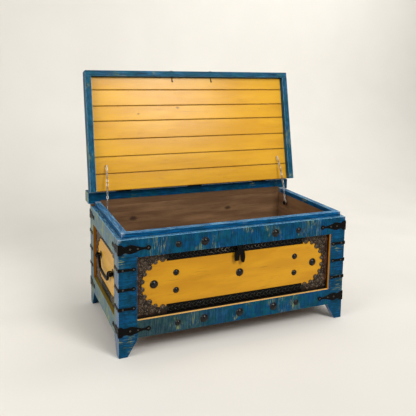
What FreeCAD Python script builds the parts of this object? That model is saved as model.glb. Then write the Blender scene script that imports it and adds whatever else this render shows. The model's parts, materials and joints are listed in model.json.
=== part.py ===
"""A framed wooden chest: blue frames, yellow panels, iron straps, side handles and a hinged lid.

X runs along the front, Y from front to back and Z up. The origin is on the floor, under the
middle of the body. The lid stands open on its hinges, held by two chains.
"""
import FreeCAD, Part
import math
import os
import re

import Sketcher
from FreeCAD import Placement, Rotation, Vector

DRIVING_DIMENSIONS = {
    # body
    "body_width": 1000,
    "body_depth": 560,
    "body_top": 460,
    "foot_height": 70,
    "foot_width": 34,
    "foot_shoulder": 62,
    "front_frame": 26,
    "side_frame": 16,
    "panel_board": 7,
    "wall": 41,
    "post_front_leg": 72,
    "post_side_leg": 70,
    "top_rail": 72,
    "bottom_rail": 70,
    "plank_gap": 0.6,
    "floor_board": 12,
    "floor_batten": 10,
    "batten_width": 40,
    # raised lip and fixed rear rail
    "lip_inset": 16,
    "lip_height": 20,
    "lip_end_gap": 1,
    "rear_rail_front": 251,
    "rear_rail_depth": 76,
    "rear_rail_low": 471,
    "batten_top": 486,
    "top_level": 520,
    "overhang": 13,
    # lid, described as if it were shut
    "lid_length": 544,
    "lid_gap": 0.5,
    "lid_rim": 460.5,
    "lid_frame": 26,
    "lid_board_low": 486.5,
    "lid_board": 12,
    "board_bevel": 2.5,
    "lid_open_angle": 101.7,
    # hinges
    "hinge_axis_level": 524.5,
    "hinge_spacing": 350,
    "leaf_length": 70,
    "leaf_plate": 2.5,
    "leaf_reach": 46,
    "leaf_room": 0.6,
    "knuckle_radius": 4,
    "pin_radius": 2,
    "pin_overhang": 2,
    "pin_clearance": 0.05,
    "knuckle_gap": 0.4,
    # panel ironwork
    "iron": 2.5,
    "strip_high": 36,
    "field_radius": 100,
    "field_level": 264,
    "plate_length": 123,
    "plate_seam": 0.3,
    # straps
    "large_strap_high": 422,
    "large_strap_low": 103,
    "narrow_strap_top": 344,
    "narrow_strap_step": 76,
    # studs and nails
    "outer_stud": 266,
    "inner_stud": 156,
    "panel_end_stud": 356,
    "panel_middle_stud": 8,
    "panel_stud_rise": 36,
    "high_stud_level": 422,
    "low_stud_level": 105,
    "lid_stud": 100,
    "large_stud_radius": 16.5,
    "small_stud_radius": 12.5,
    "nail_radius": 3.6,
    # side handles
    "handle_level": 276,
    "handle_standoff": 13.6,
    "handle_half_span": 118,
    "handle_drop": 46,
    "handle_rod": 6,
    "journal_in": 9,
    "journal_out": 10,
    "knob_out": 14,
    "staple_ring": 9.5,
    "staple_wire": 2.6,
    "rosette_radius": 17,
    # lock
    "lock_level": 377,
    "lock_standoff": 14,
    "lock_pin": 2.5,
    "lock_plate": 6,
    "lock_half_width": 13,
    "lock_ear_radius": 6,
    "lock_ear": 3,
    "lock_back_low": 17,
    "lock_back_high": 11,
    "sleeve_half": 8,
    "sleeve_wall": 3,
    # chains
    "chain_wire": 1.3,
    "chain_width": 5,
    "chain_pitch": 9.4,
    "chain_slack": 0.4,
    "chain_lid_reach": 115,
    "chain_lid_side": 435,
    "chain_wall_side": 448,
    "eye_standoff": 11,
    "eye_ring": 4.6,
    "end_ring": 10,
    "chain_top_angle": -117.45,
    "chain_middle_angle": -108.87,
    "chain_low_angle": -98.62,
    "chain_screw_back": 153.33,
    "chain_screw_level": 421.84,
    "chain_screw": 1.25,
    "chain_screw_room": 0.6,
}

doc = FreeCAD.newDocument("WoodenChest")
dims = doc.addObject("Spreadsheet::Sheet", "dims")
for row, (alias, value) in enumerate(DRIVING_DIMENSIONS.items(), start=1):
    dims.set(f"A{row}", alias)
    dims.set(f"B{row}", str(value))
    dims.setAlias(f"B{row}", alias)
doc.recompute()

X, Y, Z = Vector(1, 0, 0), Vector(0, 1, 0), Vector(0, 0, 1)
# A fitting made flat, with +Z as its outer side, turns to face each way by one of these.
FACING = {
    "front": Rotation(X, Z, -Y, "XYZ"),
    "left": Rotation(-Y, Z, -X, "XYZ"),
}
nodes = []


# ---------------------------------------------------------------- helpers

def on_sheet(text):
    """Make an expression that reads the sheet, from words such as 'body_width / 2'."""
    return re.sub(r"([a-z]\w*)", r"dims.\1", str(text))


def size(text):
    return float(dims.evalExpression(on_sheet(text)))


def node(piece, label):
    """Name a finished piece and put it on the list of those that are written out."""
    piece.Label = label
    nodes.append(piece)
    return piece


def block(name, corner, sides):
    """A rectangular piece, from its low corner and its three sides."""
    piece = doc.addObject("Part::Box", name)
    for prop, text in zip(("Placement.Base.x", "Placement.Base.y", "Placement.Base.z"), corner):
        piece.setExpression(prop, on_sheet(text))
    for prop, text in zip(("Length", "Width", "Height"), sides):
        piece.setExpression(prop, on_sheet(text))
    return piece


def cylinder(name, radius, length, base, axis=Z):
    """A round bar that starts at base and runs along axis."""
    piece = doc.addObject("Part::Cylinder", name)
    piece.setExpression("Radius", on_sheet(radius))
    piece.setExpression("Height", on_sheet(length))
    piece.Placement = Placement(base, Rotation(Z, axis))
    return piece


def ring(name, radius, wire, centre, axis):
    """A closed ring of round wire about an axis."""
    piece = doc.addObject("Part::Torus", name)
    piece.setExpression("Radius1", on_sheet(radius))
    piece.setExpression("Radius2", on_sheet(wire))
    piece.Placement = Placement(centre, Rotation(Z, axis))
    return piece


def fused(name, members):
    union = doc.addObject("Part::MultiFuse", name)
    union.Shapes = members
    union.Refine = True
    return union


def cut(name, base, tool):
    remainder = doc.addObject("Part::Cut", name)
    remainder.Base = base
    remainder.Tool = tool
    return remainder


def group(name, members):
    """Several separate solids that share one node."""
    bundle = doc.addObject("Part::Compound", name)
    bundle.Links = members
    return bundle


def copy_of(master, base, rotation=None):
    """A linked copy of the master as it stands, turned and then moved to base."""
    link = doc.addObject("App::Link", master.Name + "_copy")
    link.LinkedObject = master
    link.LinkTransform = True
    link.Placement = Placement(base, rotation or Rotation())
    return link


def mirrored(name, source, normal, base=None):
    twin = doc.addObject("Part::Mirroring", name)
    twin.Source = source
    twin.Normal = normal
    twin.Base = base or Vector()
    return twin


def at_both_sides(name, source):
    """The piece and its twin on the other side of the chest, as one group."""
    return group(name, [source, mirrored(name + "_twin", source, X)])


def at_four_corners(name, source):
    front = at_both_sides(name + "_front", source)
    back = mirrored(name + "_back", front, Y)
    return group(name, [front, back])


def sketch_on(body, role, name):
    """A new sketch of the body on one of its own origin planes."""
    sketch = body.newObject("Sketcher::SketchObject", name)
    plane = next(part for part in body.Origin.OriginFeatures if part.Role == role)
    sketch.AttachmentSupport = [(plane, "")]
    sketch.MapMode = "FlatFace"
    return sketch


def polygon(sketch, corners):
    """A closed polygon whose corners stay at distances that the sheet gives."""
    points = [Vector(size(across), size(up), 0) for across, up in corners]
    for start, end in zip(points, points[1:] + points[:1]):
        sketch.addGeometry(Part.LineSegment(start, end))
    for index, (across, up) in enumerate(corners):
        following = (index + 1) % len(corners)
        sketch.addConstraint(Sketcher.Constraint("Coincident", index, 2, following, 1))
        for kind, text in (("DistanceX", across), ("DistanceY", up)):
            rule = Sketcher.Constraint(kind, -1, 1, index, 1, size(text))
            number = sketch.addConstraint(rule)
            sketch.setExpression(f"Constraints[{number}]", on_sheet(text))


def pad(body, sketch, length, reverse=False):
    feature = body.newObject("PartDesign::Pad", sketch.Name + "_pad")
    feature.Profile = sketch
    feature.setExpression("Length", on_sheet(length))
    feature.Reversed = reverse
    return feature


def spline(points):
    curve = Part.BSplineCurve()
    curve.interpolate([Vector(*point) for point in points])
    return curve


# ---------------------------------------------------------------- body frame

def corner_post():
    """An L-shaped post whose two legs run down into a bracket foot with sloping inner edges."""
    body = doc.addObject("PartDesign::Body", "post")
    legs = (("XZ_Plane", "post_front_leg", "front_frame", True),
            ("YZ_Plane", "post_side_leg", "side_frame", False))
    for role, width, thickness, reverse in legs:
        outline = sketch_on(body, role, "post_" + role[:2].lower())
        polygon(outline, [("0", "0"), ("foot_width", "0"), (width, "foot_shoulder"),
                          (width, "body_top"), ("0", "body_top")])
        pad(body, outline, thickness, reverse)
    body.setExpression("Placement.Base.x", on_sheet("-body_width / 2"))
    body.setExpression("Placement.Base.y", on_sheet("-body_depth / 2"))
    return body


def rail_pair(side, corner, sides):
    """The top and bottom rails of one face of the body."""
    levels = (("bottom_rail", "foot_height"), ("top_rail", "body_top - top_rail"))
    rails = []
    for high, low in levels:
        rail = block(f"{side}_{high}", (*corner, low), (*sides, high))
        rails.append(node(rail, f"{side}_{high}"))
    return rails


def body_frame():
    front_left = node(corner_post(), "post_front_left")
    front_right = node(mirrored("post_fr", front_left, X), "post_front_right")
    node(mirrored("post_bl", front_left, Y), "post_back_left")
    node(mirrored("post_br", front_right, Y), "post_back_right")
    long_side = ("body_width - 2 * post_front_leg", "front_frame")
    short_side = ("side_frame", "body_depth - 2 * post_side_leg")
    left_end = "post_front_leg - body_width / 2"
    near_end = "post_side_leg - body_depth / 2"
    rail_pair("front", (left_end, "-body_depth / 2"), long_side)
    rail_pair("back", (left_end, "body_depth / 2 - front_frame"), long_side)
    rail_pair("left", ("-body_width / 2", near_end), short_side)
    rail_pair("right", ("body_width / 2 - side_frame", near_end), short_side)


# ---------------------------------------------------------------- panels, lining and floor

def panels():
    """Four thin boards behind the frames; the end panels stand between the long ones."""
    high = "body_top - foot_height"
    long_side = ("body_width - 2 * side_frame", "panel_board", high)
    short_side = ("panel_board", "body_depth - 2 * (front_frame + panel_board)", high)
    left_end = "side_frame - body_width / 2"
    near_end = "front_frame + panel_board - body_depth / 2"
    places = {
        "front_panel": ((left_end, "front_frame - body_depth / 2", "foot_height"), long_side),
        "back_panel": ((left_end, "body_depth / 2 - front_frame - panel_board", "foot_height"),
                       long_side),
        "left_panel": ((left_end, near_end, "foot_height"), short_side),
        "right_panel": (("body_width / 2 - side_frame - panel_board", near_end, "foot_height"),
                        short_side),
    }
    for name, (corner, sides) in places.items():
        node(block(name, corner, sides), name)


def stacked_planks(name, corner, sides, count, along):
    """Planks side by side, with a thin gap between them, filling a block."""
    span = sides[along]
    width = f"(({span}) - {count - 1} * plank_gap) / {count}"
    planks = []
    for index in range(count):
        place, shape = list(corner), list(sides)
        place[along] = f"{corner[along]} + {index} * ({width} + plank_gap)"
        shape[along] = width
        planks.append(block(f"{name}_{index + 1}", place, shape))
    return node(group(name, planks), name)


LINING_BOARDS = 3
FLOOR_BOARDS = 4
BATTEN_PLACES = (-0.36, 0, 0.36)    # as shares of the body's width


def lining():
    """Stained boards inside the panels, three high on each wall."""
    high = "body_top - foot_height"
    long_side = ("body_width - 2 * wall", "wall - front_frame - panel_board", high)
    short_side = ("wall - side_frame - panel_board",
                  "body_depth - 2 * (front_frame + panel_board)", high)
    near_end = "front_frame + panel_board - body_depth / 2"
    places = {
        "front_lining": (("wall - body_width / 2", near_end, "foot_height"), long_side),
        "back_lining": (("wall - body_width / 2", "body_depth / 2 - wall", "foot_height"),
                        long_side),
        "left_lining": (("side_frame + panel_board - body_width / 2", near_end, "foot_height"),
                        short_side),
        "right_lining": (("body_width / 2 - wall", near_end, "foot_height"), short_side),
    }
    for name, (corner, sides) in places.items():
        stacked_planks(name, corner, sides, LINING_BOARDS, along=2)


def floor():
    inner_x, inner_y = "wall - body_width / 2", "wall - body_depth / 2"
    length, depth = "body_width - 2 * wall", "body_depth - 2 * wall"
    stacked_planks("floor_boards", (inner_x, inner_y, "foot_height + floor_batten"),
                   (length, depth, "floor_board"), FLOOR_BOARDS, along=1)
    battens = []
    for index, offset in enumerate(BATTEN_PLACES):
        middle = f"body_width * {offset} - batten_width / 2"
        battens.append(block(f"batten_{index + 1}", (middle, inner_y, "foot_height"),
                             ("batten_width", depth, "floor_batten")))
    node(group("floor_battens", battens), "floor_battens")


def lip_and_rear_rail():
    """The lip that the lid fits around, the batten behind it, and the fixed rail of the top."""
    thick = "wall - lip_inset"
    outer = "lip_inset - body_width / 2"
    front = block("front_lip", (outer, "lip_inset - body_depth / 2", "body_top"),
                  ("body_width - 2 * lip_inset", thick, "lip_height"))
    node(front, "front_lip")
    left = block("left_lip", (outer, "wall - body_depth / 2", "body_top"),
                 (thick, "rear_rail_front - lip_end_gap + body_depth / 2 - wall", "lip_height"))
    node(left, "left_lip")
    node(mirrored("right_lip", left, X), "right_lip")
    upright = block("batten_upright",
                    ("wall - body_width / 2", "body_depth / 2 - wall", "body_top"),
                    ("body_width - 2 * wall", "rear_rail_front - body_depth / 2 + wall",
                     "batten_top - body_top"))
    flat = block("batten_flat", ("-body_width / 2", "rear_rail_front", "body_top"),
                 ("body_width", "body_depth / 2 - rear_rail_front", "rear_rail_low - body_top"))
    node(fused("batten_whole", [upright, flat]), "rear_batten")
    rail = block("rear_rail", ("-body_width / 2 - overhang", "rear_rail_front", "rear_rail_low"),
                 ("body_width + 2 * overhang", "rear_rail_depth", "top_level - rear_rail_low"))
    node(rail, "rear_rail")


# ---------------------------------------------------------------- domed studs and nails

STUD_HEIGHT = 0.6    # as a share of the head's radius
NAIL_HEIGHT = 0.8
COLLAR_SHARE = 1 / 8
RIM_SHARE = 0.93


def dome(name, radius, height_share):
    """A domed head, part of a sphere on a thin collar, standing on its own XY plane."""
    body = doc.addObject("PartDesign::Body", name)
    sketch = sketch_on(body, "XZ_Plane", name + "_profile")
    wide = size(radius)
    tall = wide * height_share
    collar, rim = tall * COLLAR_SHARE, wide * RIM_SHARE
    cap = tall - collar
    sphere = (rim ** 2 + cap ** 2) / (2 * cap)
    halfway = math.asin(rim / sphere) / 2
    corners = [Vector(0, 0, 0), Vector(wide, 0, 0), Vector(wide, collar, 0),
               Vector(rim, collar, 0)]
    bulge = Vector(sphere * math.sin(halfway), tall - sphere + sphere * math.cos(halfway), 0)
    top = Vector(0, tall, 0)
    for start, end in zip(corners, corners[1:]):
        sketch.addGeometry(Part.LineSegment(start, end))
    sketch.addGeometry(Part.Arc(corners[-1], bulge, top))
    sketch.addGeometry(Part.LineSegment(top, corners[0]))
    turned = body.newObject("PartDesign::Revolution", name + "_turned")
    turned.Profile = sketch
    turned.ReferenceAxis = (sketch, ["V_Axis"])
    turned.Angle = 360
    return body


def front_studs():
    """The studs on the front: rows on both rails and a pattern on the panel between them."""
    rail_face = size("-body_depth / 2")
    panel_face = size("front_frame - body_depth / 2")
    high, low, middle = size("high_stud_level"), size("low_stud_level"), size("field_level")
    inner, outer, end = size("inner_stud"), size("outer_stud"), size("panel_end_stud")
    rise = size("panel_stud_rise")
    large_places = [(side * inner, rail_face, level) for side in (-1, 1) for level in (low, high)]
    large_places += [(0, rail_face, low), (size("panel_middle_stud"), panel_face, middle)]
    large_places += [(side * end, panel_face, middle) for side in (-1, 1)]
    small_places = [(side * outer, rail_face, level) for side in (-1, 1) for level in (low, high)]
    small_places += [(side * outer, panel_face, middle + step)
                     for side in (-1, 1) for step in (-rise, rise)]
    for kind, places in (("large", large_places), ("small", small_places)):
        master = dome(f"{kind}_stud", f"{kind}_stud_radius", STUD_HEIGHT)
        studs = [copy_of(master, Vector(*place), FACING["front"]) for place in places]
        node(group(f"{kind}_studs", studs), f"{kind}_studs")


# ---------------------------------------------------------------- iron straps round the corners

# Half outlines of the straps: distance from the corner, and half the width there.
LARGE_STRAP = {"length": 125, "end_radius": 9.5, "nails": (44, 74, 115.5),
               "half": [(0, 20), (8, 20), (14, 18.5), (19, 13.5), (26, 12), (36, 15), (48, 17),
                        (62, 13.5), (78, 8), (92, 4.6), (101, 4)]}
NARROW_STRAP = {"length": 66, "end_radius": 8, "nails": (16, 58),
                "half": [(0, 7), (9, 6), (24, 5), (40, 5.2), (48, 4.8)]}
LARGE_SIDE_SHARE = 0.76
NARROW_SIDE_SHARE = 0.9
NARROW_STRAP_ROWS = 3
END_ARC_START = math.radians(140)


def strap_outline(sketch, shape, share, start):
    """A strap's outline: two mirrored curves from the corner to a round end."""
    radius = shape["end_radius"]
    centre = shape["length"] * share - radius
    meet = Vector(centre + radius * math.cos(END_ARC_START), radius * math.sin(END_ARC_START), 0)
    upper = [(start, shape["half"][0][1], 0)]
    upper += [(across * share, half, 0) for across, half in shape["half"][1:]]
    upper.append(tuple(meet))
    lower = [(across, -up, 0) for across, up, _ in upper]
    sketch.addGeometry(spline(upper))
    sketch.addGeometry(Part.Arc(meet, Vector(centre + radius, 0, 0), Vector(meet.x, -meet.y, 0)))
    sketch.addGeometry(spline(lower[::-1]))
    sketch.addGeometry(Part.LineSegment(Vector(*lower[0]), Vector(*upper[0])))


def strap(name, shape, side_share):
    """One strap, bent round a corner that stands at its own origin."""
    body = doc.addObject("PartDesign::Body", name)
    front = sketch_on(body, "XZ_Plane", name + "_front")
    strap_outline(front, shape, 1, -size("iron"))
    pad(body, front, "iron")
    side = sketch_on(body, "YZ_Plane", name + "_side")
    strap_outline(side, shape, side_share, 0)
    pad(body, side, "iron", reverse=True)
    return body


def strap_nail_places(shape, side_share, level):
    """Where one strap's nails go on the front and on the left side, with the way each faces."""
    left, near, iron = size("-body_width / 2"), size("-body_depth / 2"), size("iron")
    last = shape["length"] * side_share - shape["end_radius"]
    places = []
    for across in shape["nails"]:
        places.append((Vector(left + across, near - iron, level), "front"))
        along = min(across * side_share, last)
        places.append((Vector(left - iron, near + along, level), "left"))
    return places


def corner_straps():
    """Straps at all four corners; gives back the nail and the group of nails that hold them."""
    left, near = size("-body_width / 2"), size("-body_depth / 2")
    large_levels = [size("large_strap_high"), size("large_strap_low")]
    narrow_levels = [size(f"narrow_strap_top - {row} * narrow_strap_step")
                     for row in range(NARROW_STRAP_ROWS)]
    nail = dome("nail", "nail_radius", NAIL_HEIGHT)
    nails = []
    kinds = (("large", LARGE_STRAP, LARGE_SIDE_SHARE, large_levels),
             ("narrow", NARROW_STRAP, NARROW_SIDE_SHARE, narrow_levels))
    for kind, shape, share, levels in kinds:
        master = strap(f"{kind}_strap", shape, share)
        corner = group(f"{kind}_corner", [copy_of(master, Vector(left, near, level))
                                          for level in levels])
        node(at_four_corners(f"{kind}_straps_group", corner), f"{kind}_corner_straps")
        for level in levels:
            for place, facing in strap_nail_places(shape, share, level):
                nails.append(copy_of(nail, place, FACING[facing]))
    return nail, at_four_corners("strap_nails", group("corner_nails", nails))


# ---------------------------------------------------------------- ironwork on the panels

LOBES = ((9, 9), (27, 8), (45, 11), (63, 8), (81, 11))    # angle round the field, radius
LOBE_OVERLAP = 2


def corner_plate():
    """A quarter of the frame round the painted field, made flat about the field's centre."""
    reach = size("field_radius")
    sheet_metal = block("plate_sheet", ("0", "plate_seam", "0"),
                        ("plate_length", "body_top - top_rail - field_level - plate_seam", "iron"))
    field = cylinder("plate_field", "field_radius", "iron", Vector())
    lobes = []
    for degrees, radius in LOBES:
        angle = math.radians(degrees)
        centre = Vector(math.cos(angle), math.sin(angle), 0) * (reach - LOBE_OVERLAP)
        lobes.append(cylinder("plate_lobe", str(radius), "iron", centre))
    scalloped = fused("plate_scalloped", [cut("plate_cut", sheet_metal, field), *lobes])
    above_seam = block("plate_limits", ("0", "plate_seam", "0"),
                       ("plate_length", "plate_length", "iron"))
    trimmed = doc.addObject("Part::Common", "plate")
    trimmed.Base = scalloped
    trimmed.Tool = above_seam
    return trimmed


def panel_ironwork():
    """Four corner plates and two edge strips on the front panel and on each end panel."""
    plate = corner_plate()
    level = size("field_level")
    front_half = size("body_width / 2 - post_front_leg - plate_length")
    side_half = size("body_depth / 2 - post_side_leg - plate_length")
    faces = {
        "front": (X, front_half, Vector(front_half, size("front_frame - body_depth / 2"), level)),
        "left": (Y, side_half, Vector(size("side_frame - body_width / 2"), -side_half, level)),
    }
    plates, strips = {}, {}
    for face, (across, half_field, place) in faces.items():
        upper = group(f"{face}_plate_high", [copy_of(plate, place, FACING[face])])
        lower = mirrored(f"{face}_plate_low", upper, Z, Vector(0, 0, level))
        one_end = group(f"{face}_plates_end", [upper, lower])
        plates[face] = group(f"{face}_plates",
                             [one_end, mirrored(f"{face}_plates_far", one_end, across)])
        strips[face] = [edge_strip(face, half_field, name) for name in ("low", "high")]
    node(plates["front"], "front_corner_plates")
    node(at_both_sides("side_plates", plates["left"]), "side_corner_plates")
    node(group("front_strips", strips["front"]), "front_edge_strips")
    node(at_both_sides("side_strips", group("left_strips", strips["left"])), "side_edge_strips")


def edge_strip(face, half_field, name):
    """A flat strip between two corner plates, along the bottom or the top of a panel."""
    low = "body_top - top_rail - strip_high" if name == "high" else "foot_height + bottom_rail"
    if face == "front":
        corner = (str(-half_field), "front_frame - body_depth / 2 - iron", low)
        return block(f"{face}_strip_{name}", corner, (str(2 * half_field), "iron", "strip_high"))
    corner = ("side_frame - body_width / 2 - iron", str(-half_field), low)
    return block(f"{face}_strip_{name}", corner, ("iron", str(2 * half_field), "strip_high"))


# ---------------------------------------------------------------- side handles

def side_handles():
    """A bail on each end of the chest, hung from two staples that stand on round plates."""
    panel_face = size("side_frame - body_width / 2")
    pivot = Vector(panel_face - size("handle_standoff"), 0, size("handle_level"))
    span = size("handle_half_span")
    staples, plates = [], []
    for end in (-1, 1):
        centre = pivot + Y * (end * span)
        eye = ring("staple_eye", "staple_ring", "staple_wire", centre, Y)
        shank = cylinder("staple_shank", "staple_wire",
                         "handle_standoff - staple_ring - iron / 2",
                         centre + X * size("staple_ring"), X)
        staples.append(fused("staple", [eye, shank]))
        foot = Vector(panel_face, end * span, pivot.z)
        plates.append(cylinder("rosette", "rosette_radius", "iron / 2", foot, -X))
    node(at_both_sides("staples_group", group("left_staples", staples)), "handle_staples")
    node(at_both_sides("rosettes_group", group("left_rosettes", plates)), "handle_rosettes")
    left = bail(pivot, span)
    node(left, "left_handle")
    node(mirrored("right_bail", left, X), "right_handle")


BAIL_SAG = math.radians(6)
BAIL_STEEP = math.radians(82)
KNOB_SHARE = 1.5    # a knob's radius, as a share of the bar's


def bail(pivot, span):
    """A round bar of tangent arcs with straight journals, and knobs on its ends."""
    journal_in = span - size("journal_in")
    journal_out = span + size("journal_out")
    knob = span + size("knob_out")
    sag, steep = BAIL_SAG, BAIL_STEEP
    rise = 1 + math.cos(sag) - 2 * math.cos(steep)
    inward = 2 * math.sin(steep) - math.sin(sag)
    slope = math.tan(sag / 2)
    radius = (size("handle_drop") - slope * journal_in) / (rise - slope * inward)
    reach = journal_in - radius * inward
    bend, low_drop = radius * rise, slope * reach
    path = doc.addObject("Sketcher::SketchObject", "bail_path")
    half = [(journal_out, 0), (journal_in, 0)]
    path.addGeometry(Part.LineSegment(*(Vector(*point, 0) for point in half)))
    upper = Vector(journal_in, -radius, 0)
    lower = Vector(reach - radius * math.sin(sag), -bend + radius * math.cos(sag), 0)

    def on_arc(centre, reach_out, angle):
        return centre + Vector(-math.sin(angle), math.cos(angle), 0) * reach_out

    turn_points = [on_arc(upper, radius, angle) for angle in (0, steep / 2, steep)]
    ease_points = [on_arc(lower, -radius, angle) for angle in (steep, (steep + sag) / 2, sag)]
    path.addGeometry(Part.Arc(*turn_points))
    path.addGeometry(Part.Arc(*ease_points))
    bottom = Vector(0, ease_points[-1].y - low_drop, 0)
    far = Vector(-ease_points[-1].x, ease_points[-1].y, 0)
    path.addGeometry(Part.Arc(ease_points[-1], bottom, far))
    for points in (ease_points, turn_points):
        path.addGeometry(Part.Arc(*(Vector(-point.x, point.y, 0) for point in points[::-1])))
    path.addGeometry(Part.LineSegment(*(Vector(-across, up, 0) for across, up in half[::-1])))
    path.Placement = Placement(pivot, Rotation(Y, Z, X, "XYZ"))
    profile = doc.addObject("Part::Circle", "bail_section")
    profile.setExpression("Radius", on_sheet("handle_rod"))
    profile.Placement = Placement(pivot + Y * journal_out, Rotation(Z, Y))
    rod = doc.addObject("Part::Sweep", "bail_rod")
    rod.Sections = [profile]
    rod.Spine = (path, [f"Edge{number + 1}" for number in range(path.GeometryCount)])
    rod.Solid = True
    knobs = []
    for end in (-1, 1):
        ball = doc.addObject("Part::Sphere", "bail_knob")
        ball.setExpression("Radius", on_sheet(f"handle_rod * {KNOB_SHARE}"))
        ball.Placement.Base = pivot + Y * (end * knob)
        knobs.append(ball)
    return fused("bail", [rod, *knobs])


# ---------------------------------------------------------------- lock

# The toggle's outline, going round from the left end of its sleeve: across and up from the pin.
TOGGLE_LEFT_LEG = [(-8, -2), (-8, -8.5), (-20, -17), (-23, -36), (-21.5, -57), (-3, -57)]
TOGGLE_SLOT = [(-2, -44), (0, -27), (3, -30), (5, -47), (7, -62)]
TOGGLE_RIGHT_LEG = [(14, -68), (21, -64), (24.5, -44), (20, -17), (8, -8.5), (8, -2)]


def lock():
    """A bracket below the top rail, and the forked toggle that swings from its pin."""
    pin_line = Vector(0, size("front_frame - body_depth / 2 - lock_standoff"), size("lock_level"))
    half = size("lock_half_width")
    back_face = "front_frame - body_depth / 2 - iron - lock_ear"
    pin = cylinder("lock_pin_bar", "lock_pin", "2 * lock_half_width", pin_line - X * half, X)
    back = block("lock_back", ("-lock_half_width", back_face, "lock_level - lock_back_low"),
                 ("2 * lock_half_width", "lock_ear", "lock_back_low + lock_back_high"))
    members = [pin, back]
    for start in (-half, half - size("lock_ear")):
        members.append(cylinder("lock_ear", "lock_ear_radius", "lock_ear", pin_line + X * start, X))
        members.append(block("lock_arm", (str(start), str(pin_line.y),
                                          "lock_level - lock_ear_radius"),
                             ("lock_ear", f"{back_face} - ({pin_line.y})", "2 * lock_ear_radius")))
    node(fused("lock_bracket_parts", members), "lock_bracket")
    node(toggle(pin_line), "lock_toggle")


def toggle(pin_line):
    """A forked blade below a sleeve that turns on the pin."""
    body = doc.addObject("PartDesign::Body", "toggle_blade")
    outline = sketch_on(body, "XZ_Plane", "toggle_outline")
    points = [Vector(across, up, 0)
              for across, up in TOGGLE_LEFT_LEG + TOGGLE_SLOT + TOGGLE_RIGHT_LEG]
    for start, end in zip(points, points[1:] + points[:1]):
        outline.addGeometry(Part.LineSegment(start, end))
    pad(body, outline, "lock_plate")
    body.Placement.Base = pin_line + Y * size("lock_plate / 2")
    left_end = pin_line - X * size("sleeve_half")
    sleeve = cylinder("toggle_sleeve", "lock_pin + sleeve_wall", "2 * sleeve_half", left_end, X)
    bore = cylinder("toggle_bore", "lock_pin + pin_clearance", "2 * sleeve_half", left_end, X)
    return cut("toggle", fused("toggle_solid", [sleeve, body]), bore)


# ---------------------------------------------------------------- lid

def raised(piece, label):
    """Turn a lid piece, made as if the lid were shut, to where the lid stands open."""
    swing = Rotation(X, -size("lid_open_angle"))
    axis = Vector(0, size("rear_rail_front"), size("hinge_axis_level"))
    opened = group(label, [piece])
    opened.Placement = Placement(axis - swing.multVec(axis), swing)
    return node(opened, label)


TOP_BOARDS = 5
# The lining boards' widths from the front rail back; the last board fills what is left.
LINING_WIDTHS = (59, 73, 69, 82, 78, 76)


def lid():
    """Three frame rails, the lining boards between them and the top boards above those."""
    left = "-body_width / 2 - overhang"
    near = "rear_rail_front - lid_gap - lid_length"
    high = "top_level - lid_rim"
    raised(block("front_rail_shut", (left, near, "lid_rim"),
                 ("body_width + 2 * overhang", "lid_frame", high)), "lid_front_rail")
    side = block("left_rail_shut", (left, near + " + lid_frame", "lid_rim"),
                 ("lid_frame", "lid_length - lid_frame", high))
    raised(side, "lid_left_rail")
    raised(mirrored("right_rail_shut", side, X), "lid_right_rail")
    raised(lid_lining(left, near), "lid_lining_boards")
    top_boards = []
    board = f"(lid_length - lid_frame - {TOP_BOARDS - 1} * plank_gap) / {TOP_BOARDS}"
    top_low = "(lid_board_low + lid_board)"
    for index in range(TOP_BOARDS):
        start = f"{near} + lid_frame + {index} * ({board} + plank_gap)"
        top_boards.append(block(f"top_board_{index + 1}", (left + " + lid_frame", start, top_low),
                                ("body_width + 2 * overhang - 2 * lid_frame", board,
                                 f"top_level - {top_low}")))
    raised(group("top_boards_shut", top_boards), "lid_top_boards")
    stud = dome("lid_stud_head", "small_stud_radius", STUD_HEIGHT)
    studs = [copy_of(stud, Vector(side * size("lid_stud"), size(near),
                                  size("(lid_rim + top_level) / 2")), FACING["front"])
             for side in (-1, 1)]
    raised(group("lid_studs_shut", studs), "lid_studs")


def lid_lining(left, near):
    """Seven boards with bevelled edges, so that the joints between them show as grooves."""
    gap = size("plank_gap")
    last = size("lid_length - lid_frame") - sum(LINING_WIDTHS) - gap * len(LINING_WIDTHS)
    start = Vector(size(left + " + lid_frame"), size(near + " + lid_frame"), size("lid_board_low"))
    boards = []
    for index, width in enumerate((*LINING_WIDTHS, last)):
        body = doc.addObject("PartDesign::Body", f"lining_board_{index + 1}")
        section = sketch_on(body, "YZ_Plane", f"lining_board_section_{index + 1}")
        polygon(section, [("0", "board_bevel"), ("board_bevel", "0"),
                          (f"{width} - board_bevel", "0"), (str(width), "board_bevel"),
                          (str(width), "lid_board"), ("0", "lid_board")])
        pad(body, section, "body_width + 2 * overhang - 2 * lid_frame")
        body.Placement.Base = Vector(start)
        boards.append(body)
        start += Y * (width + gap)
    return group("lining_shut", boards)


# ---------------------------------------------------------------- hinges

def hinge_leaf(name, spans, way):
    """A leaf with its knuckles about a hinge axis at its own origin; way is +1 for backwards."""
    surface = "top_level - hinge_axis_level"
    clear = "knuckle_radius + leaf_room"
    reach = "leaf_reach - knuckle_radius - leaf_room"
    plate_start = clear if way > 0 else "-leaf_reach"
    members = [block(name + "_plate", ("0", plate_start, surface),
                     ("leaf_length", reach, "leaf_plate"))]
    for low, high in spans:
        width = f"({high}) - ({low})"
        tongue_start = "0" if way > 0 else "-knuckle_radius - leaf_room"
        members.append(block(name + "_tongue", (low, tongue_start, surface),
                             (width, clear, "leaf_plate")))
        members.append(cylinder(name + "_knuckle", "knuckle_radius", width,
                                X * size(low), X))
    bore = cylinder(name + "_bore", "pin_radius + pin_clearance", "leaf_length", Vector(), X)
    return cut(name, fused(name + "_solid", members), bore)


# Where a leaf's nails stand: shares of its length and of its reach from the axis.
NAILS_ALONG = (0.2, 0.8)
NAILS_OUT = (0.4, 0.8)
HINGE_PLACES = (-1, 0, 1)    # in hinge spacings


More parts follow.
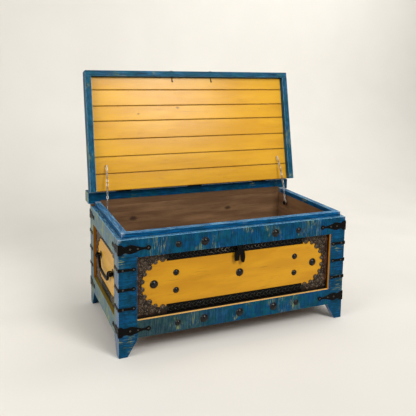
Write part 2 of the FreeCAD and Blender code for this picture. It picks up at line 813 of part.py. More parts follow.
def hinges(nail, strap_nails):
    """Three butt hinges on top of the seam between the lid and the rear rail, and the nails."""
    third = "leaf_length / 3"
    rail_leaf = hinge_leaf("rail_leaf", [("0", f"{third} - knuckle_gap"),
                                         (f"2 * {third} + knuckle_gap", "leaf_length")], 1)
    lid_leaf = hinge_leaf("lid_leaf", [(third, f"2 * {third}")], -1)
    pin = cylinder("hinge_pin", "pin_radius", "leaf_length + 2 * pin_overhang",
                   X * -size("pin_overhang"), X)
    axis = Vector(0, size("rear_rail_front"), size("hinge_axis_level"))
    starts = [axis + X * (size("hinge_spacing") * place - size("leaf_length / 2"))
              for place in HINGE_PLACES]
    node(group("rail_leaves", [copy_of(rail_leaf, start) for start in starts]),
         "hinge_rail_leaves")
    node(group("pins", [copy_of(pin, start) for start in starts]), "hinge_pins")
    raised(group("lid_leaves", [copy_of(lid_leaf, start) for start in starts]),
           "hinge_lid_leaves")
    plate_top = size("top_level - hinge_axis_level + leaf_plate")
    nails = {1: [], -1: []}
    for start in starts:
        for way in nails:
            for along in NAILS_ALONG:
                for out in NAILS_OUT:
                    place = Vector(size("leaf_length") * along,
                                   way * size("leaf_reach") * out, plate_top)
                    nails[way].append(copy_of(nail, start + place))
    node(group("body_nails", [strap_nails, *nails[1]]), "iron_nails")
    raised(group("lid_nails", nails[-1]), "hinge_lid_nails")


# ---------------------------------------------------------------- lid chains

def chain_link():
    """One oval link, lying along X in the XY plane."""
    bow = size("chain_width - chain_wire")
    straight = size("chain_pitch + 2 * chain_wire + chain_slack") / 2 - bow
    path = doc.addObject("Sketcher::SketchObject", "link_path")
    for way in (1, -1):
        path.addGeometry(Part.LineSegment(Vector(-way * straight, way * bow, 0),
                                          Vector(way * straight, way * bow, 0)))
        path.addGeometry(Part.Arc(Vector(way * straight, way * bow, 0),
                                  Vector(way * (straight + bow), 0, 0),
                                  Vector(way * straight, -way * bow, 0)))
    profile = doc.addObject("Part::Circle", "link_section")
    profile.setExpression("Radius", on_sheet("chain_wire"))
    profile.Placement = Placement(Vector(-straight, bow, 0), Rotation(Z, X))
    link = doc.addObject("Part::Sweep", "chain_link")
    link.Sections = [profile]
    link.Spine = (path, ["Edge1", "Edge2", "Edge3", "Edge4"])
    link.Solid = True
    return link


LINKS_IN_RUN = 8
SCREW_HEAD_HEIGHT = 0.4


def lid_eye_bow():
    """Where the left lid eye's ring holds the first link, with the lid shut."""
    return Vector(-size("chain_lid_side"), size("rear_rail_front - chain_lid_reach"),
                  size("lid_board_low - eye_standoff"))


def left_chain_parts(link):
    """The left chain from its lid eye down to its end ring: three runs of equal links."""
    grip = size("2 * chain_wire + chain_slack")
    pitch = size("chain_pitch")
    swing = Rotation(X, -size("lid_open_angle"))
    axis = Vector(0, size("rear_rail_front"), size("hinge_axis_level"))
    point = axis + swing.multVec(lid_eye_bow() - axis)
    sideways = size("chain_lid_side - chain_wall_side") / (3 * LINKS_IN_RUN * pitch)
    runs = []
    for name in ("top", "middle", "low"):
        angle = math.radians(size(f"chain_{name}_angle"))
        along = Vector(sideways, math.cos(angle), math.sin(angle)).normalize()
        across = Vector(0, -along.z, along.y).normalize()
        flat = Rotation(along, across, along.cross(across), "XYZ")
        on_edge = Rotation(along, along.cross(across) * -1, across, "XYZ")
        links = []
        for index in range(LINKS_IN_RUN):
            centre = point + along * (pitch - grip) / 2
            links.append(copy_of(link, centre, flat if index % 2 == 0 else on_edge))
            point = point + along * pitch
        runs.append(links)
    centre = point + along * (size("end_ring") - grip)
    runs[-1].append(ring("end_ring", "end_ring", "chain_wire", centre, along.cross(across)))
    return runs


def chains():
    """Both lid chains, with the eyes on the lid and the screws that hold their end rings."""
    runs = left_chain_parts(chain_link())
    for name, links in zip(("top", "middle", "low"), runs):
        left = group(f"left_chain_{name}_links", links)
        node(left, f"left_chain_{name}")
        node(mirrored(f"right_chain_{name}_links", left, X), f"right_chain_{name}")
    bow = lid_eye_bow()
    eye = ring("lid_eye_ring", "eye_ring", "chain_wire", bow + Z * size("eye_ring"), Y)
    stem = cylinder("lid_eye_stem", "chain_wire", "eye_standoff - 2 * eye_ring",
                    bow + Z * size("2 * eye_ring"), Z)
    raised(at_both_sides("lid_eyes", fused("lid_eye", [eye, stem])), "chain_lid_eyes")
    wall_face = size("wall - body_width / 2")
    spot = Vector(wall_face, size("chain_screw_back"), size("chain_screw_level"))
    reach = "body_width / 2 - wall - chain_wall_side + chain_width + chain_screw_room"
    stem = cylinder("chain_screw_stem", "chain_screw", reach, spot, X)
    head = dome("chain_screw_head", "end_ring + chain_wire / 2", SCREW_HEAD_HEIGHT)
    head.Placement = Placement(spot + X * size(reach), Rotation(Z, X))
    node(at_both_sides("chain_screws_group", fused("chain_screw", [stem, head])), "chain_screws")


# ---------------------------------------------------------------- build, check and write

body_frame()
panels()
lining()
floor()
lip_and_rear_rail()
front_studs()
nail, strap_nails = corner_straps()
panel_ironwork()
side_handles()
lock()
lid()
hinges(nail, strap_nails)
chains()
doc.recompute()

for thing in doc.Objects:
    if {"Invalid", "Error"} & set(thing.State):
        raise RuntimeError(f"{thing.Label} failed: {thing.State}")
for piece in nodes:
    if piece.Shape.isNull() or not piece.Shape.isValid() or not piece.Shape.Solids:
        raise RuntimeError(f"{piece.Label} has no valid solid")

os.makedirs("parts", exist_ok=True)
for piece in nodes:
    piece.Shape.exportStep(f"parts/{piece.Label}.step")
    print(f"{piece.Label}: {len(piece.Shape.Solids)} solids, {piece.Shape.Volume / 1000:.1f} cm3")
print(len(nodes), "nodes")
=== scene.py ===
"""The looks of the wooden chest: worn paint, boards, black iron and scrolls on the model.

Everything is in metres in the model's own frame: X along the front, Y to the back, Z up.
"""
import json
import math
import random

import bmesh
import bpy
from mathutils import Matrix, Vector


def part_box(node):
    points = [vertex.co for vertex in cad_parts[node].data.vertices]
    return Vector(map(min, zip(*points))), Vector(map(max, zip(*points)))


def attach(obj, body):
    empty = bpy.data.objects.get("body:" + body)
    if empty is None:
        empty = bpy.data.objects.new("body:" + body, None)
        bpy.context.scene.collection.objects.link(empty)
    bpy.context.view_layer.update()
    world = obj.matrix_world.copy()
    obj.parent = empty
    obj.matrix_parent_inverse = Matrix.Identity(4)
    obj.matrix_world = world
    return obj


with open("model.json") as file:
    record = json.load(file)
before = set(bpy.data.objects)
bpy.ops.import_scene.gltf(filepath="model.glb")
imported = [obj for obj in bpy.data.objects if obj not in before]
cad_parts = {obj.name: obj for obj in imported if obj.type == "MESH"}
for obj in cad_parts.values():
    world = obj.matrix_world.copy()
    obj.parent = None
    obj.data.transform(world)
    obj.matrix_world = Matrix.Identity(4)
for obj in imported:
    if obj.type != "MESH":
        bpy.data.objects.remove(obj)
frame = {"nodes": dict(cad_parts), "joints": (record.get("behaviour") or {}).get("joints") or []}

MM = 0.001
X, Y, Z = Vector((1, 0, 0)), Vector((0, 1, 0)), Vector((0, 0, 1))
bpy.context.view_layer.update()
nodes = frame["nodes"]


def srgb(red, green, blue):
    """A colour given as 0 to 255 on a screen, made linear."""
    def linear(value):
        value /= 255
        return value / 12.92 if value <= 0.04045 else ((value + 0.055) / 1.055) ** 2.4
    return (linear(red), linear(green), linear(blue), 1)


# ---------------------------------------------------------------- building materials from nodes

class Graph:
    """One material's nodes, with short calls for those used most. Sizes are in metres."""

    def __init__(self, name):
        self.material = bpy.data.materials.new(name)
        self.material.use_nodes = True
        self.tree = self.material.node_tree
        self.tree.nodes.clear()
        coordinates = self.add("ShaderNodeTexCoord")
        self.place = coordinates.outputs["Object"]
        self.facing = coordinates.outputs["Normal"]

    def add(self, kind, **settings):
        made = self.tree.nodes.new(kind)
        for key, value in settings.items():
            setattr(made, key, value)
        return made

    def plug(self, socket, value):
        if isinstance(value, bpy.types.NodeSocket):
            self.tree.links.new(value, socket)
        else:
            socket.default_value = value

    def maths(self, operation, *values):
        made = self.add("ShaderNodeMath", operation=operation)
        for socket, value in zip(made.inputs, values):
            self.plug(socket, value)
        return made.outputs[0]

    def times(self, *values):
        product = values[0]
        for value in values[1:]:
            product = self.maths("MULTIPLY", product, value)
        return product

    def parts(self, vector):
        made = self.add("ShaderNodeSeparateXYZ")
        self.plug(made.inputs[0], vector)
        return made.outputs[:]

    def noise(self, size, stretch=(1, 1, 1), detail=3, roughness=0.5, shift=0.0):
        """Noise from 0 to 1 whose features are about size across, and longer where stretched."""
        mapping = self.add("ShaderNodeMapping")
        self.plug(mapping.inputs["Vector"], self.place)
        mapping.inputs["Scale"].default_value = [1 / (size * length) for length in stretch]
        mapping.inputs["Location"].default_value = (shift, 1.7 * shift, 0.6 * shift)
        made = self.add("ShaderNodeTexNoise")
        self.plug(made.inputs["Vector"], mapping.outputs[0])
        made.inputs["Scale"].default_value = 1
        made.inputs["Detail"].default_value = detail
        made.inputs["Roughness"].default_value = roughness
        return made.outputs[0]

    def fade(self, value, low, high, start=0.0, end=1.0):
        """Start below low, end above high, and a smooth change between them."""
        made = self.add("ShaderNodeMapRange", interpolation_type="SMOOTHSTEP")
        for socket, given in zip(made.inputs, (value, low, high, start, end)):
            self.plug(socket, given)
        return made.outputs[0]

    def near(self, value, target, width):
        return self.maths("COMPARE", value, target, width)

    def mix(self, share, first, second):
        made = self.add("ShaderNodeMix", data_type="RGBA")
        self.plug(made.inputs[0], share)
        self.plug(made.inputs[6], first)
        self.plug(made.inputs[7], second)
        return made.outputs[2]

    def edges(self, radius, low=0.01, high=0.12):
        """1 on the outer and inner edges of the shape, 0 on its flat parts."""
        rounded = self.add("ShaderNodeBevel", samples=4)
        rounded.inputs["Radius"].default_value = radius
        plain = self.add("ShaderNodeNewGeometry")
        made = self.add("ShaderNodeVectorMath", operation="DOT_PRODUCT")
        self.plug(made.inputs[0], rounded.outputs[0])
        self.plug(made.inputs[1], plain.outputs["Normal"])
        turn = self.maths("SUBTRACT", 1.0, made.outputs["Value"])
        return self.fade(turn, low, high)

    def nearness(self, spot, reach):
        """1 at a spot, fading to 0 at reach from it."""
        away = self.add("ShaderNodeVectorMath", operation="DISTANCE")
        self.plug(away.inputs[0], self.place)
        self.plug(away.inputs[1], tuple(spot))
        return self.fade(away.outputs["Value"], 0.3 * reach, reach, 1.0, 0.0)

    def island(self):
        """A random value for each separate solid."""
        return self.add("ShaderNodeNewGeometry").outputs["Random Per Island"]

    def finish(self, colour, roughness, metallic=0.0, bumps=(), specular=0.25):
        """Close the material. Bumps are pairs of a height from 0 to 1 and its depth in metres."""
        shader = self.add("ShaderNodeBsdfPrincipled")
        self.plug(shader.inputs["Base Color"], colour)
        self.plug(shader.inputs["Roughness"], roughness)
        self.plug(shader.inputs["Metallic"], metallic)
        self.plug(shader.inputs["Specular IOR Level"], specular)
        normal = None
        for height, depth in bumps:
            made = self.add("ShaderNodeBump")
            self.plug(made.inputs["Height"], height)
            made.inputs["Distance"].default_value = depth
            made.inputs["Strength"].default_value = 1
            if normal:
                self.plug(made.inputs["Normal"], normal)
            normal = made.outputs[0]
        if normal:
            self.plug(shader.inputs["Normal"], normal)
        output = self.add("ShaderNodeOutputMaterial")
        self.plug(output.inputs["Surface"], shader.outputs[0])
        return self.material


# ---------------------------------------------------------------- painted wood

INK_BLUE = srgb(0, 20, 34)
DEEP_BLUE = srgb(0, 44, 72)
MID_BLUE = srgb(0, 88, 140)
TEAL = srgb(0, 80, 92)
LIP_BLUE = srgb(0, 98, 158)
DARK_TEAL = srgb(0, 46, 62)
LID_BLUE = srgb(46, 108, 144)
# the colour of the painted highlights on the edges and on the faces that look up
HIGHLIGHT_BLUE = srgb(138, 196, 232)
OLIVE = srgb(116, 128, 62)
STRAW = srgb(176, 178, 92)
WORN_DARK = srgb(30, 46, 40)
WORN_LIGHT = srgb(78, 92, 62)
CHALK = srgb(198, 202, 200)
GOLD = srgb(222, 150, 28)
AMBER = srgb(158, 98, 12)
PALE_ORANGE = srgb(232, 184, 106)
# painted shade deep in the inner faces of the openings
RECESS_SHADE_BROWN = srgb(56, 38, 26)
DARK_LINE = srgb(42, 26, 10)

ALONG_X, ALONG_Y, ALONG_Z = (14, 1, 1), (1, 14, 1), (1, 1, 14)
FRONT_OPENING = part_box("post_front_right")[0].x
SIDE_OPENING = -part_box("post_front_left")[1].y
OPENING_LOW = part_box("front_bottom_rail")[1].z
OPENING_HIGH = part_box("front_top_rail")[0].z
BODY_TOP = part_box("front_top_rail")[1].z
SIDE_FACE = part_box("post_front_right")[1].x
FRONT_FACE = -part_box("post_front_left")[0].y
REVEAL_GOLD = 9 * MM      # how wide the gold is on the inner faces of the openings
REVEAL_SKIN = 1.2 * MM    # how near to an opening's own plane its painted face is


def painted_reveals(g, colour, place, facing):
    """Gold on the inner faces of the panel openings, with painted shade where they meet the panels.
    """
    across, back = g.maths("ABSOLUTE", place[0]), g.maths("ABSOLUTE", place[1])
    squarely = [g.fade(g.maths("ABSOLUTE", part), 0.6, 0.8) for part in facing]
    inside = g.times(g.fade(place[2], OPENING_LOW - 2 * MM, OPENING_LOW),
                     g.fade(place[2], OPENING_HIGH, OPENING_HIGH + 2 * MM, 1.0, 0.0))
    jamb_x = g.times(g.near(across, FRONT_OPENING, REVEAL_SKIN), inside, squarely[0])
    jamb_y = g.times(g.near(back, SIDE_OPENING, REVEAL_SKIN), inside, squarely[1])
    level = g.times(g.maths("ADD", g.near(place[2], OPENING_LOW, REVEAL_SKIN),
                            g.near(place[2], OPENING_HIGH, REVEAL_SKIN)), squarely[2])
    # outer is 1 on the gold band next to the face; deeper in the recess the long sills and the
    # jambs of the front and back openings take painted shade, dark brown
    outer = g.fade(back, FRONT_FACE - REVEAL_GOLD - 3 * MM, FRONT_FACE - REVEAL_GOLD)
    on_long_side = g.fade(back, SIDE_OPENING, SIDE_OPENING + 2 * MM)
    sill = g.mix(on_long_side, srgb(134, 112, 40), g.mix(outer, srgb(24, 18, 14), PALE_ORANGE))
    colour = g.mix(level, colour, sill)
    colour = g.mix(jamb_x, colour, g.mix(outer, RECESS_SHADE_BROWN, GOLD))
    return g.mix(jamb_y, colour, AMBER)


def painted_side_sheen(g, colour, place, facing, share):
    """Painted reflection on the faces that look sideways: pale teal-grey with yellow and dark
    streaks in the paint, and a painted violet highlight next to the front corner.
    """
    # painted reflection: the faces that look sideways turn pale teal-grey, in streaks
    side = g.times(g.fade(g.maths("ABSOLUTE", facing[0]), 0.6, 0.9), share)
    sheen_and_streaks = g.mix(g.fade(g.noise(0.007, ALONG_Z, detail=5, roughness=0.7, shift=1.0), 0.35, 0.6),
                   srgb(62, 94, 112), srgb(112, 136, 148))
    yellow = g.times(g.fade(g.noise(0.006, (1, 1, 6), detail=4, shift=6.0), 0.5, 0.62),
                     g.fade(g.noise(0.06, detail=2, shift=8.0), 0.4, 0.55))
    sheen_and_streaks = g.mix(yellow, sheen_and_streaks, srgb(152, 158, 78))
    dark = g.fade(g.noise(0.005, (1, 1, 9), detail=4, shift=14.0), 0.58, 0.68, 0.0, 0.7)
    sheen_and_streaks = g.mix(dark, sheen_and_streaks, srgb(30, 50, 60))
    # painted highlight: violet next to the front corner, strongest low down
    corner = g.fade(place[1], -FRONT_FACE + 15 * MM, -FRONT_FACE + 75 * MM, 0.55, 0.0)
    violet_highlight = g.times(corner, g.fade(place[2], 0.24, 0.43, 1.0, 0.3))
    sheen_and_streaks = g.mix(violet_highlight, sheen_and_streaks, srgb(126, 132, 176))
    return g.mix(side, colour, sheen_and_streaks)


def rubbed_streaks(g, place, brush, broad, wear, clusters):
    """The share of the paint rubbed off, in streaks that gather in patches and in clusters."""
    patch = g.fade(broad, 0.64 - 0.3 * wear, 0.74 - 0.3 * wear)
    for centre, reach, strength in clusters:
        away = g.maths("ABSOLUTE", g.maths("SUBTRACT", place[0], centre))
        patch = g.maths("MAXIMUM", patch, g.fade(away, 0.3 * reach, reach, strength, 0.0))
    streaks = g.fade(g.noise(0.0032, brush, detail=5, roughness=0.7, shift=9.0), 0.5, 0.64)
    return g.times(streaks, patch, 0.85)


def edge_highlight(g, place, outline):
    """A painted highlight in a broken line along the edges, which keeps to the rim and the corners
    on the body.
    """
    broken = g.fade(g.noise(0.014, detail=4, shift=7.0), 0.3, 0.5, 0.4, 1.0)
    line = g.times(g.edges(2.6 * MM), broken)
    if outline == "body":
        rim = g.fade(place[2], BODY_TOP - 5 * MM, BODY_TOP - 3 * MM)
        across, back = g.maths("ABSOLUTE", place[0]), g.maths("ABSOLUTE", place[1])
        corner = g.times(g.fade(across, SIDE_FACE - 5 * MM, SIDE_FACE - 3 * MM),
                         g.fade(back, FRONT_FACE - 5 * MM, FRONT_FACE - 3 * MM), 0.7)
        line = g.times(line, g.maths("MAXIMUM", rim, corner))
    return line


def blue_paint(name, brush, wear=0.3, green=0.4, clusters=(), worn=None, side_sheen=0.0,
               top_lit=0.0, chalk=(), reveal=False, outline="all", main=MID_BLUE,
               dark=0.6):
    """Brushed blue paint over wood.

    Brush is the way of the brush marks, wear the share of the surface rubbed to straw colour and
    green the share of teal patches. Clusters are streaky places: their X, reach and strength.
    Worn is the X where the blue is gone, the X where it is whole, and how worn it is there.
    The side share is how much painted reflection, pale teal-grey with a painted violet highlight
    next to the front corner, the faces that look sideways take, and the top share how much painted
    light, in pale blue streaks, the faces that look up take. Chalk is a list of rubbed corners with
    a radius.
    Reveal paints the inner faces of the openings, with painted shade deep in them. Outline is "all"
    or "body", as for the painted edge highlight. Main is the paint's main blue, and dark the share
    of dark patches.
    """
    g = Graph(name)
    place, facing = g.parts(g.place), g.parts(g.facing)
    strokes = g.noise(0.005, brush, detail=5, roughness=0.62)
    hairs = g.noise(0.003, brush, detail=4, roughness=0.6, shift=3.0)
    broad = g.noise(0.11, detail=4, shift=2.0)
    colour = g.mix(g.fade(strokes, 0.28, 0.72), DEEP_BLUE, main)
    patches = g.fade(g.noise(0.05, detail=5, roughness=0.65, shift=5.0), 0.42, 0.6)
    colour = g.mix(g.times(patches, green), colour, TEAL)
    if worn:
        gone, whole, share = worn
        old = g.mix(g.fade(strokes, 0.34, 0.68), WORN_DARK, WORN_LIGHT)
        left = g.fade(g.maths("ADD", place[0], g.times(broad, 0.25)), gone, whole, 1.0, share)
        colour = g.mix(g.times(left, 0.7), colour, old)
    colour = g.mix(g.times(g.fade(hairs, 0.5, 0.66), 0.6), colour, INK_BLUE)
    shade = g.fade(g.noise(0.03, detail=6, roughness=0.7, shift=20.0), 0.4, 0.66)
    colour = g.mix(g.times(shade, dark), colour, DARK_TEAL)
    rubbed = rubbed_streaks(g, place, brush, broad, wear, clusters)
    colour = g.mix(rubbed, colour, g.mix(g.fade(g.noise(0.02, shift=4.0), 0.4, 0.6), OLIVE, STRAW))
    # painted reflection on the faces that look sideways
    if side_sheen:
        colour = painted_side_sheen(g, colour, place, facing, side_sheen)
    # painted light: pale blue streaks on the faces that look up
    if top_lit:
        streaky = g.fade(g.noise(0.0036, brush, detail=5, roughness=0.75, shift=12.0), 0.44, 0.6)
        upward = g.times(g.fade(facing[2], 0.6, 0.9), top_lit)
        colour = g.mix(g.times(streaky, upward), colour, HIGHLIGHT_BLUE)
    for spot, radius in chalk:
        reach = g.nearness(spot, radius)
        flakes = g.fade(g.noise(0.0035, detail=5, roughness=0.75, shift=15.0), 0.42, 0.56)
        colour = g.mix(g.times(reach, flakes, g.fade(facing[2], 0.0, 0.7, 0.4, 1.0)), colour, CHALK)
    # painted highlight along the edges
    colour = g.mix(edge_highlight(g, place, outline), colour, HIGHLIGHT_BLUE)
    # the openings' inner faces: gold, with painted shade deep in them
    if reveal:
        colour = painted_reveals(g, colour, place, facing)
    rough = g.fade(strokes, 0.2, 0.8, 0.42, 0.6)
    return g.finish(colour, rough, specular=0.1,
                    bumps=((strokes, 0.35 * MM), (rubbed, -0.2 * MM)))


def yellow_paint(name, grain, light, deep, joints=0.0, knots=(), gloss=0.2, rough=0.34,
                 cracked=0.7):
    """Golden paint over boards whose grain and fine cracks show through a little."""
    g = Graph(name)
    fine = g.noise(0.0035, grain, detail=4, roughness=0.6)
    broad = g.noise(0.05, tuple(min(value, 6) for value in grain), detail=3, shift=3.0)
    colour = g.mix(g.fade(broad, 0.35, 0.65), light, deep)
    colour = g.mix(g.times(g.fade(fine, 0.52, 0.75), 0.45), colour, srgb(178, 116, 12))
    cracks = g.noise(0.0022, tuple(value * 2.5 if value > 1 else 1 for value in grain), detail=3,
                     shift=11.0)
    where = g.fade(g.noise(0.07, detail=2, shift=13.0), 0.48, 0.6)
    colour = g.mix(g.times(g.fade(cracks, 0.6, 0.68), where, cracked), colour, srgb(128, 84, 16))
    tint = g.fade(g.island(), 0.0, 1.0, -0.5, 0.5)
    colour = g.mix(g.maths("ABSOLUTE", g.times(tint, 0.35)), colour, srgb(236, 178, 60))
    for spot, reach in knots:
        colour = g.mix(knot_mask(g, spot, reach, grain), colour, srgb(120, 74, 18))
    colour = g.mix(g.times(g.edges(4.5 * MM, 0.004, 0.05), joints), colour, DARK_LINE)
    if not joints:
        level = g.parts(g.place)[2]
        hidden = g.maths("MAXIMUM", g.fade(level, OPENING_LOW - 2 * MM, OPENING_LOW, 1.0, 0.0),
                         g.fade(level, OPENING_HIGH, OPENING_HIGH + 2 * MM))
        colour = g.mix(hidden, colour, INK_BLUE)
    roughness = g.fade(fine, 0.3, 0.7, rough, rough + 0.1)
    return g.finish(colour, roughness, specular=gloss, bumps=((fine, 0.12 * MM),))


def knot_mask(g, spot, reach, grain):
    """A dark eye in the wood, longer along the grain."""
    shifted = g.add("ShaderNodeVectorMath", operation="SUBTRACT")
    g.plug(shifted.inputs[0], g.place)
    g.plug(shifted.inputs[1], tuple(spot))
    scaled = g.add("ShaderNodeVectorMath", operation="MULTIPLY")
    g.plug(scaled.inputs[0], shifted.outputs[0])
    g.plug(scaled.inputs[1], tuple(1 / (reach * min(length, 1.8)) for length in grain))
    length = g.add("ShaderNodeVectorMath", operation="LENGTH")
    g.plug(length.inputs[0], scaled.outputs[0])
    ragged = g.maths("ADD", length.outputs["Value"], g.times(g.noise(0.01, detail=4), 0.8))
    return g.fade(ragged, 0.6, 1.5, 0.8, 0.0)


def bare_wood(name, grain, dark, light, knots=()):
    """Oiled brown boards, with grain, darker edges and a few knots."""
    g = Graph(name)
    fine = g.noise(0.0036, grain, detail=5, roughness=0.65)
    broad = g.noise(0.03, tuple(min(value, 8) for value in grain), detail=4, shift=6.0)
    colour = g.mix(g.fade(broad, 0.3, 0.7), dark, light)
    colour = g.mix(g.times(g.fade(fine, 0.5, 0.72), 0.6), colour, srgb(50, 32, 18))
    colour = g.mix(g.fade(g.island(), 0.0, 1.0, 0.0, 0.3), colour, srgb(118, 88, 60))
    for spot, reach in knots:
        colour = g.mix(knot_mask(g, spot, reach, grain), colour, srgb(38, 24, 16))
    colour = g.mix(g.times(g.edges(2.0 * MM), 0.6), colour, srgb(40, 26, 16))
    return g.finish(colour, 0.6, bumps=((fine, 0.2 * MM),))


# ---------------------------------------------------------------- metals

def black_iron(name, base=srgb(3, 3, 3), worn=srgb(104, 100, 92), shine=0.42, rubbed=0.5):
    """Blackened iron with a hammered skin, and edges rubbed grey."""
    g = Graph(name)
    dents = g.noise(0.007, detail=2)
    fine = g.noise(0.0016, detail=4, shift=3.0)
    colour = g.mix(g.fade(fine, 0.55, 0.75), base, srgb(30, 26, 22))
    edge = g.times(g.edges(1.2 * MM), g.fade(g.noise(0.007, shift=8.0), 0.45, 0.62))
    colour = g.mix(g.times(edge, rubbed), colour, worn)
    rough = g.fade(fine, 0.3, 0.7, shine - 0.1, shine + 0.14)
    return g.finish(colour, rough, 0.1, specular=0.1,
                    bumps=((dents, 1.2 * MM), (fine, 0.15 * MM)))


def bronze(name, base=srgb(34, 26, 21), high=srgb(118, 92, 70), flecks=0.2):
    """Dark brown brass, lighter where it is rubbed."""
    g = Graph(name)
    fine = g.noise(0.002, detail=4)
    broad = g.noise(0.03, detail=3, shift=4.0)
    colour = g.mix(g.fade(fine, 0.4, 0.65), base, srgb(30, 24, 20))
    colour = g.mix(g.times(g.fade(broad, 0.4, 0.65), flecks), colour, high)
    colour = g.mix(g.times(g.edges(1.0 * MM), 0.6), colour, high)
    return g.finish(colour, g.fade(fine, 0.3, 0.7, 0.32, 0.5), 0.5, specular=0.4,
                    bumps=((fine, 0.2 * MM),))


def raised_metal(name, low, high, base, light, rubbed=()):
    """Metal dark in its hollows, with painted highlights on its crests, and paler places where it
    is rubbed.

    Low and high are the surface's roundness where the light colour starts and where it is full.
    """
    g = Graph(name)
    crest = g.add("ShaderNodeNewGeometry").outputs["Pointiness"]
    fine = g.noise(0.004, detail=3)
    # painted highlight: the light colour on the crests
    shine = g.times(g.fade(crest, low, high), g.fade(fine, 0.35, 0.6, 0.35, 1.0))
    colour = g.mix(shine, base, light)
    for spot, reach in rubbed:
        streaks = g.fade(g.noise(0.006, ALONG_X, detail=4), 0.44, 0.6)
        worn = g.times(g.nearness(spot, reach), streaks)
        colour = g.mix(g.times(worn, 0.8), colour, srgb(150, 140, 124))
    return g.finish(colour, 0.36, 0.5, specular=0.3)


def stud_iron(name, collar_planes):
    """Dark studs whose thin collars are rusty brown. The planes are where the collars end."""
    g = Graph(name)
    fine = g.noise(0.0022, detail=4)
    colour = g.mix(g.fade(fine, 0.4, 0.65), srgb(12, 13, 14), srgb(44, 43, 41))
    depth = g.parts(g.place)[1]
    collar = 0.0
    for plane in collar_planes:
        collar = g.maths("MAXIMUM", g.near(depth, plane, 1.6 * MM), collar)
    colour = g.mix(g.times(collar, 0.5), colour, srgb(64, 46, 30))
    return g.finish(colour, g.fade(fine, 0.3, 0.7, 0.2, 0.34), 0.6, specular=0.5,
                    bumps=((fine, 0.3 * MM),))


def bright_steel(name):
    """Bright steel, with some of its separate solids dulled at random."""
    g = Graph(name)
    fine = g.noise(0.001, detail=3)
    colour = g.mix(g.fade(fine, 0.35, 0.65), srgb(236, 232, 224), srgb(170, 166, 158))
    dull = g.fade(g.island(), 0.4, 0.55, 0.75, 0.0)
    colour = g.mix(dull, colour, srgb(74, 68, 60))
    return g.finish(colour, 0.3, 0.5, bumps=((fine, 0.05 * MM),))


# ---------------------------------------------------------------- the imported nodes

def dress(names, material, bevel=0.0, segments=2):
    """Give nodes their material, and soften their edges by bevel metres."""
    for name in names:
        obj = nodes[name]
        obj.data.materials.clear()
        obj.data.materials.append(material)
        weld = obj.modifiers.new("weld", "WELD")
        weld.merge_threshold = 0.01 * MM
        if bevel:
            soft = obj.modifiers.new("soft_edges", "BEVEL")
            soft.width = bevel
            soft.segments = segments
            soft.limit_method = "ANGLE"
            soft.angle_limit = math.radians(35)
            soft.use_clamp_overlap = True
            shade = obj.modifiers.new("shade", "WEIGHTED_NORMAL")
            shade.keep_sharp = False


lid_swing = next(joint for joint in frame["joints"] if joint["name"] == "lid_hinge")
LID_AXIS = Vector(lid_swing["pos_m"])
LID_OPEN = Matrix.Rotation(-math.radians(lid_swing["range_deg"][1]), 3, "X")
LID_INSIDE = LID_AXIS.z - 38 * MM    # the inner face of the lid's boards, when it is shut
LID_STUD_RADIUS = 12.5 * MM


def on_open_lid(across, from_hinge, level):
    """A point of the shut lid, taken to where the lid stands open."""
    return LID_AXIS + LID_OPEN @ (Vector((across, LID_AXIS.y - from_hinge, level)) - LID_AXIS)


def dress_blue_wood():
    """The painted frame, lips, rear rail and lid frame, and the lid's outer boards."""
    posts = [name for name in nodes if name.startswith("post_")]
    top_rails = [f"{face}_top_rail" for face in ("front", "back")]
    low_rails = [f"{face}_bottom_rail" for face in ("front", "back")]
    side_rails = [f"{face}_{level}_rail" for face in ("left", "right")
                  for level in ("top", "bottom")]
    corners = [(Vector((side * SIDE_FACE, -FRONT_FACE, BODY_TOP)), 0.017) for side in (-1, 1)]
    lip_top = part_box("left_lip")[1]
    lip_ends = [(Vector((side * lip_top.x, lip_top.y, lip_top.z)), 0.045) for side in (-1, 1)]
    lip_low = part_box("front_lip")[0]
    lip_ends += [(Vector((side * lip_low.x, lip_low.y, lip_top.z)), 0.018) for side in (-1, 1)]
    dress(top_rails, blue_paint("blue_top_rails", ALONG_Z, 0.3, 0.6, top_lit=0.6, reveal=True,
                                clusters=((-0.345, 0.05, 0.9), (0.33, 0.06, 0.6)),
                                outline="body"), 0.6 * MM)
    dress(low_rails, blue_paint("blue_low_rails", ALONG_Z, 0.3, 0.8, worn=(-0.25, 0.15, 0.0),
                                clusters=((0.2, 0.03, 0.7), (-0.2, 0.04, 0.6)), reveal=True,
                                outline="body"), 0.6 * MM)
    dress(posts, blue_paint("blue_posts", ALONG_X, 0.32, 0.3, side_sheen=0.9, top_lit=0.6,
                            chalk=corners, reveal=True, outline="body", dark=0.85), 0.6 * MM)
    dress(side_rails, blue_paint("blue_side_rails", ALONG_Y, 0.3, 0.6, side_sheen=1.0, top_lit=0.6,
                                 reveal=True, outline="body"), 0.6 * MM)
    dress(("front_lip",), blue_paint("blue_front_lip", ALONG_X, 0.1, 0.1, top_lit=0.5,
                                     chalk=lip_ends, main=LIP_BLUE, dark=0.3), 1.5 * MM)
    dress(("left_lip", "right_lip"), blue_paint("blue_side_lips", ALONG_Y, 0.15, 0.1,
                                                top_lit=0.4, chalk=lip_ends,
                                                main=LIP_BLUE, dark=0.3), 1.5 * MM)
    dress(("rear_rail",), blue_paint("blue_rear_rail", ALONG_X, 0.15, 0.5, side_sheen=1.0),
          1.5 * MM)
    dress(("lid_front_rail",),
          blue_paint("blue_lid_rail", ALONG_X, 0.2, 0.5, main=LID_BLUE, dark=0.3), 2 * MM)
    dress(("lid_left_rail", "lid_right_rail"),
          blue_paint("blue_lid_sides", ALONG_Z, 0.2, 0.5, main=LID_BLUE, dark=0.4), 2 * MM)
    dress(("lid_top_boards",), blue_paint("blue_lid_boards", ALONG_X, 0.3, 0.6), 1.5 * MM)


